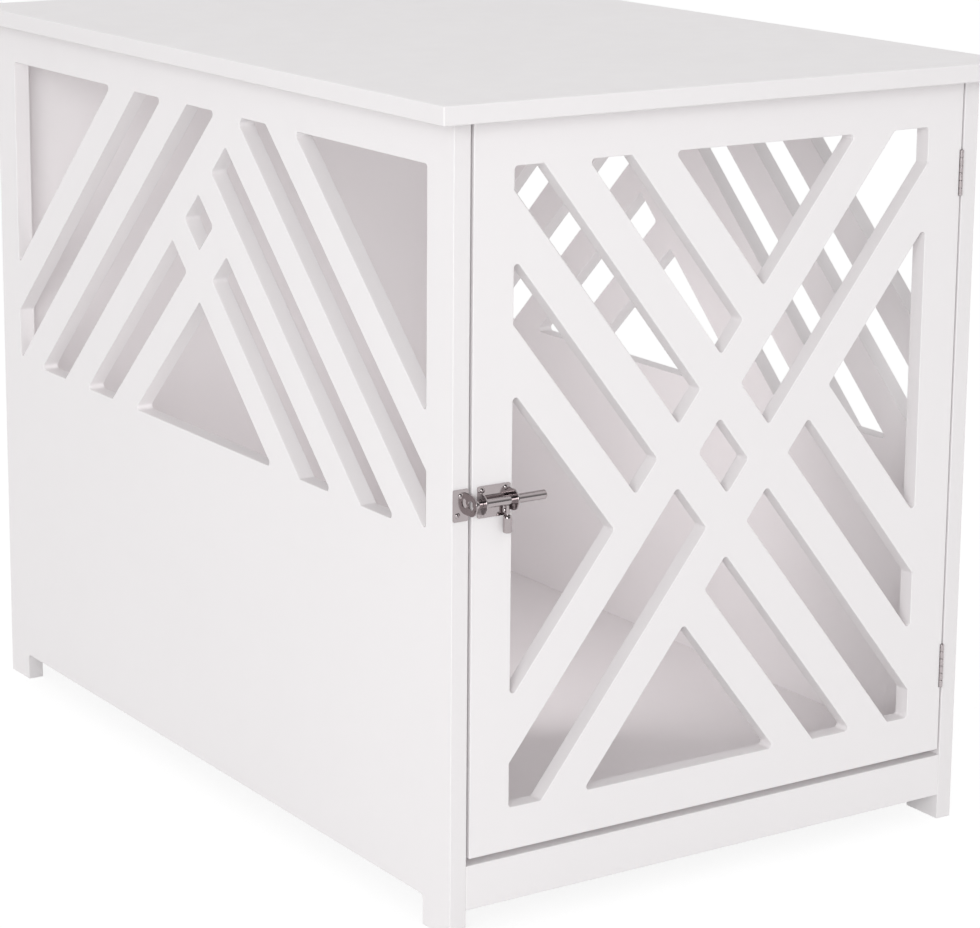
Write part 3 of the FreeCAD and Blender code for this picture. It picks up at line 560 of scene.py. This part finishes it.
def hinge_leaf(level, first, outward):
    """A leaf about its pin: the plate lies on the side that outward gives, and runs back."""
    half_sheet = LEAF_SHEET / 2
    plate_x = LEAF_SPREAD - half_sheet if outward > 0 else -half_sheet
    plate = block((LEAF_SHEET, LEAF_DEPTH, LEAF_HEIGHT), (plate_x, LEAF_DEPTH / 2, 0))
    far = [e for e in plate.edges if abs(e.verts[0].co.x - e.verts[1].co.x) > 0.1 * MM
           and min(v.co.y for v in e.verts) > (LEAF_DEPTH - 1) * MM]
    bevel(plate, far, LEAF_CORNER * MM, 6)
    steps = []
    reach = KNUCKLE_LENGTH / 2 + KNUCKLE_PLAY
    for number in range(1 - first, KNUCKLES, 2):
        foot = number * PITCH - LEAF_HEIGHT / 2
        room = cylinder(KNUCKLE_ROOM, -reach, reach, 40)
        steps.append(("DIFFERENCE", raised(room, foot + KNUCKLE_LENGTH / 2)))
    for number in range(first, KNUCKLES, 2):
        foot = number * PITCH - LEAF_HEIGHT / 2
        steps.append(("UNION", raised(rolled_knuckle(), foot)))
    steps.append(("DIFFERENCE", cylinder(PIN_HOLE, -20, 20, 32)))
    face = plate_x - half_sheet if outward > 0 else plate_x + half_sheet
    for height in LEAF_SCREW_RISES:
        seat = turned([(0, -0.2), (2.55, -0.2), (1.35, 0.95), (1.35, 3), (0, 3)], 32)
        point = Vector((face, LEAF_SCREW_BACK, height)) * MM
        place = standing(point, UNITS[X] * outward, UNITS[Z])
        steps.append(("DIFFERENCE", moved(seat, place)))
    leaf = combined(plate, *steps)
    return moved(leaf, Matrix.Translation((PIN_X, PIN_Y, level)))


pin_low, pin_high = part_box("lower_hinge_pin")
PIN_X = (pin_low.x + pin_high.x) / 2
PIN_Y = (pin_low.y + pin_high.y) / 2
hinge_levels = []
for end in ("upper", "lower"):
    low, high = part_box(end + "_hinge_pin")
    level = (low.z + high.z) / 2
    hinge_levels.append(level)
    pin = turned([(0, -19), (0.6, -18.95), (PIN_RADIUS, -18.7), (PIN_RADIUS, 18.7), (0.6, 18.95),
                  (0, 19)], 32)
    moved(pin, Matrix.Translation((PIN_X, PIN_Y, level)))
    finished_piece(
        end + "_pin", pin, "cabinet", hinge_nickel, [end + "_hinge_pin"]
    )
    finished_piece(
        end + "_frame_leaf", hinge_leaf(level, 0, 1), "cabinet", hinge_nickel,
        [end + "_hinge_frame_leaf"],
    )
    finished_piece(
        end + "_door_leaf", hinge_leaf(level, 1, -1), "door", hinge_nickel,
        [end + "_hinge_door_leaf"],
    )

# ---------------------------------------------------------------- hinge screws
# Two flush countersunk screws with a cross recess hold each leaf. They are made of steel and plated
# like the hinges.
SCREW_SHANK = threaded(0.95, 1.28, 1.2, 10.4, 1.15) + [(0, 12)]


def cross_recess(width, arm, depth, top):
    """The two crossed blades that leave a screw's recess."""
    return (
        ("DIFFERENCE", block((width, arm, 2 * depth), (0, 0, top))),
        ("DIFFERENCE", block((arm, width, 2 * depth), (0, 0, top))),
    )


for node, name, body, side, aside in (
    ("hinge_frame_screws", "frame_leaf_screws", "cabinet", 1, LEAF_SPREAD - LEAF_SHEET),
    ("hinge_door_screws", "door_leaf_screws", "door", -1, 0),
):
    screw = combined(
        turned([(0, 0), (2.2, 0), (2.3, 0.08), (1.3, 0.95)] + SCREW_SHANK, 32),
        *cross_recess(2.2, 0.5, 0.55, 0),
    )
    places = []
    for level in hinge_levels:
        for rise in LEAF_SCREW_RISES:
            point = Vector((PIN_X + aside * MM, PIN_Y + LEAF_SCREW_BACK * MM, level + rise * MM))
            places.append(standing(point, UNITS[X] * side, UNITS[Z]))
    finished_piece(name, repeated(screw, places), body, hinge_nickel, [node])

# ---------------------------------------------------------------- barrel bolt: plate and keeper
# Both are pressed from steel sheet and chrome plated. Round ears are folded up from the sheet and
# pierced to guide the rod.
# The chrome's colour is painted darker and pinkish. It stands in for the dark, warm reflections of
# the surroundings and is laid over the metal's own silver.
chrome = finished_material(
    "polished chrome, painted dark reflection", plating,
    {"Colour": (0.44, 0.395, 0.4, 1), "Roughness": 0.07, "Cloudiness": 0.06},
    0.004 * MM, Metallic=1.0,
)
rod_low, rod_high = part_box("bolt_rod")
ROD_AXIS = Vector((0, (rod_low.y + rod_high.y) / 2, (rod_low.z + rod_high.z) / 2))
EAR_SHEET = 1.2
EAR_RADIUS = 8.5
EAR_EDGE = 0.15
PLATE_SHEET = 1
PLATE_CORNER = 1.5
PLATE_WIDTH = 30
KEEPER_WIDTH = 14
STANDOFF = 5.5
ROD_HOLE = 3.83
SCREW_HOLE = 1.36


def guide_plate(node, ears, screws):
    """A plate with folded ears; ears and screws are measured from its left end."""
    low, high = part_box(node)
    width = (high.x - low.x) / MM
    height = (high.z - low.z) / MM
    reach = STANDOFF - PLATE_SHEET / 2
    plate = block((width, PLATE_SHEET, height), (width / 2, reach, 0))
    corners = [e for e in plate.edges if abs(e.verts[0].co.y - e.verts[1].co.y) > 0.5 * MM]
    bevel(plate, corners, PLATE_CORNER * MM, 6)
    steps = []
    for start in ears:
        face = EAR_RADIUS - EAR_EDGE
        disc = turned([(0, 0), (face, 0), (EAR_RADIUS, EAR_EDGE),
                       (EAR_RADIUS, EAR_SHEET - EAR_EDGE), (face, EAR_SHEET), (0, EAR_SHEET)], 72)
        moved(disc, standing(Vector((start, 0, 0)) * MM, UNITS[X], UNITS[Z]))
        steps.append(("UNION", disc))
        middle = (start + EAR_SHEET / 2, reach / 2, 0)
        steps.append(("UNION", block((EAR_SHEET, reach, 2 * EAR_RADIUS), middle)))
    hole = cylinder(ROD_HOLE, -5, width + 5, 64)
    steps.append(("DIFFERENCE", moved(hole, standing(Vector(), UNITS[X], UNITS[Z]))))
    for across, rise in screws:
        pierced = cylinder(SCREW_HOLE, -2, 2, 24)
        place = Vector((across, reach, rise)) * MM
        steps.append(("DIFFERENCE", moved(pierced, standing(place, UNITS[Y], UNITS[X]))))
    made = combined(plate, *steps)
    return moved(made, Matrix.Translation(ROD_AXIS + Vector((low.x, 0, 0)))), low.x


PLATE_SCREWS = [(4.2, -9.3), (4.2, 9.3), (25.8, -9.3), (25.8, 9.3)]
KEEPER_SCREWS = [(7.0, 7.6), (4.0, -7.6)]
plate_mesh, plate_left = guide_plate("bolt_plate", (0, PLATE_WIDTH - EAR_SHEET), PLATE_SCREWS)
finished_piece("bolt_guide", plate_mesh, "door", chrome, ["bolt_plate"])
keeper_mesh, keeper_left = guide_plate("bolt_keeper", (KEEPER_WIDTH - EAR_SHEET,), KEEPER_SCREWS)
finished_piece("bolt_catch", keeper_mesh, "cabinet", chrome, ["bolt_keeper"])

# ---------------------------------------------------------------- barrel bolt: screws
# Small round-headed steel screws with a cross recess, plated like the plates that they hold. Four
# hold the plate to the door and two hold the keeper to the side panel.
for node, name, body, left, screws in (
    ("bolt_plate_screws", "guide_screws", "door", plate_left, PLATE_SCREWS),
    ("keeper_screws", "catch_screws", "cabinet", keeper_left, KEEPER_SCREWS),
):
    screw = combined(
        turned([(0, -1.3), (0.7, -1.24), (1.35, -1.02), (1.95, -0.62), (2.3, -0.12), (2.35, 0),
                (1.3, 0)] + SCREW_SHANK, 32),
        *cross_recess(2.1, 0.5, 0.6, -1.3),
    )
    places = []
    for across, rise in screws:
        point = Vector((left + across * MM, ROD_AXIS.y + (STANDOFF - PLATE_SHEET) * MM,
                        ROD_AXIS.z + rise * MM))
        places.append(standing(point, UNITS[Y], UNITS[X]))
    finished_piece(name, repeated(screw, places), body, chrome, [node])

# ---------------------------------------------------------------- barrel bolt: rod
# The rod is a turned steel bar, polished and chrome plated. It slides in the plate's ears, and
# has a domed nose with a shallow groove behind it.
DOME_STEPS = 10
NOSE_RADIUS = 3.4
NOSE_LENGTH = 3.0
ROD_RADIUS = 3.72
ROD_LENGTH = 66
rod_profile = []
for step in range(DOME_STEPS + 1):
    angle = math.radians(90 * step / DOME_STEPS)
    rod_profile.append((NOSE_RADIUS * math.sin(angle), NOSE_LENGTH * (1 - math.cos(angle))))
rod_profile += [
    (NOSE_RADIUS, 6.9), (3.25, 7.2), (2.95, 7.5), (2.95, 8.3), (3.2, 8.7), (3.55, 8.7),
    (ROD_RADIUS, 8.9), (ROD_RADIUS, ROD_LENGTH - 0.6), (3.3, ROD_LENGTH), (0, ROD_LENGTH),
]
rod = turned(rod_profile, 72)
moved(rod, standing(ROD_AXIS + Vector((rod_low.x, 0, 0)), UNITS[X], UNITS[Z]))
finished_piece("sliding_rod", rod, "rod", chrome, ["bolt_rod"])

# ---------------------------------------------------------------- barrel bolt: handle
# The handle hangs from the rod on a thin neck and ends in a round knob with a domed shoulder and a
# flat foot. It is turned from steel and chrome plated.
NECK_RADIUS = 1.45
SHOULDER_RADIUS = 1.7
SHOULDER_TOP = -11.5
KNOB_RADIUS = 3.63
KNOB_FOOT = -25.5
handle_low, handle_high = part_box("bolt_handle")
knob_profile = [
    (0, -3.85), (NECK_RADIUS, -3.85), (NECK_RADIUS, -10.9), (SHOULDER_RADIUS, SHOULDER_TOP),
]
for step in range(DOME_STEPS):
    angle = math.radians(90 * (step + 1) / DOME_STEPS)
    swell = (KNOB_RADIUS - SHOULDER_RADIUS) * math.sin(angle)
    knob_profile.append((SHOULDER_RADIUS + swell, SHOULDER_TOP - 2.6 * (1 - math.cos(angle))))
knob_profile += [(KNOB_RADIUS, -24.9), (3.45, -25.3), (3.1, KNOB_FOOT), (0, KNOB_FOOT)]
handle = turned(knob_profile, 56)
handle_x = (handle_low.x + handle_high.x) / 2
moved(handle, Matrix.Translation(ROD_AXIS + Vector((handle_x, 0, 0))))
finished_piece("hanging_handle", handle, "handle", chrome, ["bolt_handle"])

# ---------------------------------------------------------------- studio floor
# A wide white sweep. The camera and the metal see it as plain white, with the object's shadow
# still on it, and it throws its light back on the object like white paper.
WHITE = (1, 1, 1, 1)
SWEEP_HALF = 9
sweep_mesh = bpy.data.meshes.new("sweep")
sweep = bmesh.new()
bmesh.ops.create_grid(sweep, x_segments=4, y_segments=4, size=SWEEP_HALF)
sweep.to_mesh(sweep_mesh)
sweep.free()
floor = bpy.data.objects.new("studio_floor", sweep_mesh)
bpy.context.scene.collection.objects.link(floor)
paper = bpy.data.materials.new("white paper")
paper.use_nodes = True
tree = paper.node_tree
tree.nodes.remove(tree.nodes["Principled BSDF"])
matte = add_node(tree, "ShaderNodeBsdfDiffuse", Color=(0.8, 0.8, 0.8, 1))
shaded = add_node(tree, "ShaderNodeBsdfDiffuse", Color=(0.2, 0.2, 0.2, 1))
glow = add_node(tree, "ShaderNodeEmission", Color=WHITE, Strength=0.86)


def path_of(tree, kind):
    """1 for rays of one kind."""
    return add_node(tree, "ShaderNodeLightPath").outputs[kind]


def seen_directly(tree):
    """1 for the rays that show the background: the camera's, and those off metal and glass."""
    metal = arithmetic(
        tree, "ADD", path_of(tree, "Is Glossy Ray"), path_of(tree, "Is Transmission Ray")
    )
    rays = arithmetic(tree, "ADD", path_of(tree, "Is Camera Ray"), metal)
    return arithmetic(tree, "MINIMUM", rays, 1)


lit = add_node(tree, "ShaderNodeAddShader")
tree.links.new(shaded.outputs[0], lit.inputs[0])
tree.links.new(glow.outputs[0], lit.inputs[1])
choice = add_node(tree, "ShaderNodeMixShader")
tree.links.new(seen_directly(tree), choice.inputs[0])
tree.links.new(matte.outputs[0], choice.inputs[1])
tree.links.new(lit.outputs[0], choice.inputs[2])
tree.links.new(choice.outputs[0], tree.nodes["Material Output"].inputs["Surface"])
sweep_mesh.materials.append(paper)

# ---------------------------------------------------------------- studio light
# White surroundings give the fill, and one large soft lamp stands to the left of the camera. The
# room behind the camera is dark, which the chrome mirrors.
FILL = 0.74
DARK_SIDE = (-0.55, -0.83, 0.1)
DARKNESS = 0.93
world = bpy.data.worlds.new("white studio")
bpy.context.scene.world = world
world.use_nodes = True
tree = world.node_tree
background = tree.nodes["Background"]
background.inputs["Color"].default_value = WHITE
direction = tree.nodes.new("ShaderNodeTexCoord").outputs["Generated"]
towards_camera = add_node(tree, "ShaderNodeVectorMath", operation="DOT_PRODUCT")
tree.links.new(direction, towards_camera.inputs[0])
towards_camera.inputs[1].default_value = DARK_SIDE
dark = add_node(tree, "ShaderNodeMapRange", interpolation_type="SMOOTHSTEP")
dark.inputs["From Min"].default_value = 0.1
dark.inputs["From Max"].default_value = 0.5
tree.links.new(towards_camera.outputs["Value"], dark.inputs["Value"])
behind_camera = arithmetic(tree, "MULTIPLY", dark.outputs["Result"], path_of(tree, "Is Glossy Ray"))
strength = add_node(tree, "ShaderNodeMapRange")
strength.inputs["To Min"].default_value = FILL
strength.inputs["To Max"].default_value = 1.0
tree.links.new(seen_directly(tree), strength.inputs["Value"])
unlit = arithmetic(tree, "MULTIPLY", behind_camera, DARKNESS)
tree.links.new(
    arithmetic(tree, "SUBTRACT", strength.outputs["Result"], unlit), background.inputs["Strength"]
)

key_lamp = bpy.data.lights.new("key", "AREA")
key_lamp.shape = "RECTANGLE"
key_lamp.size = 3.2
key_lamp.size_y = 2.4
key_lamp.energy = 138
key_lamp.color = (0.985, 1, 1)
key = bpy.data.objects.new("key", key_lamp)
bpy.context.scene.collection.objects.link(key)
key.location = (-3.9, -4.1, 1.75)
key.rotation_euler = (Vector((0, 0, 0.35)) - key.location).to_track_quat("-Z", "Y").to_euler()

# A weak soft lamp inside stands for the light that the white room throws in through the lattices.
inside_lamp = bpy.data.lights.new("inside", "AREA")
inside_lamp.size = 0.26
inside_lamp.energy = 0.55
inside_lamp.color = (1, 0.975, 0.978)
inside = bpy.data.objects.new("inside", inside_lamp)
bpy.context.scene.collection.objects.link(inside)
inside.visible_camera = False
inside.location = (-0.07, -0.13, 0.3)
inside.rotation_euler = Vector((0.75, 1, -0.06)).to_track_quat("-Z", "Y").to_euler()

# ---------------------------------------------------------------- camera
# The photograph's view: from the left of the front and a little above, with a long lens that is
# shifted a little, so that the object's uprights stay nearly parallel.
AZIMUTH = math.radians(-33.42)
ELEVATION = math.radians(12.11)
ROLL = math.radians(-0.47)
FOCAL_LENGTH = 113.93
LENS_SHIFT = -0.12
CAMERA_PLACE = (-1.4857, -2.3024, 0.9625)
back = Vector((
    math.sin(AZIMUTH) * math.cos(ELEVATION),
    -math.cos(AZIMUTH) * math.cos(ELEVATION),
    math.sin(ELEVATION),
))
level_right = (-back).cross(UNITS[Z]).normalized()
level_up = back.cross(level_right)
right = level_right * math.cos(ROLL) - level_up * math.sin(ROLL)
up = level_up * math.cos(ROLL) + level_right * math.sin(ROLL)
lens = bpy.data.cameras.new("camera")
lens.sensor_width = 36
lens.lens = FOCAL_LENGTH
lens.shift_y = LENS_SHIFT
camera = bpy.data.objects.new("camera", lens)
bpy.context.scene.collection.objects.link(camera)
axes = Matrix((right, up, back)).transposed().to_4x4()
camera.matrix_world = Matrix.Translation(CAMERA_PLACE) @ axes
bpy.context.scene.camera = camera
bpy.context.scene.view_settings.view_transform = "Standard"
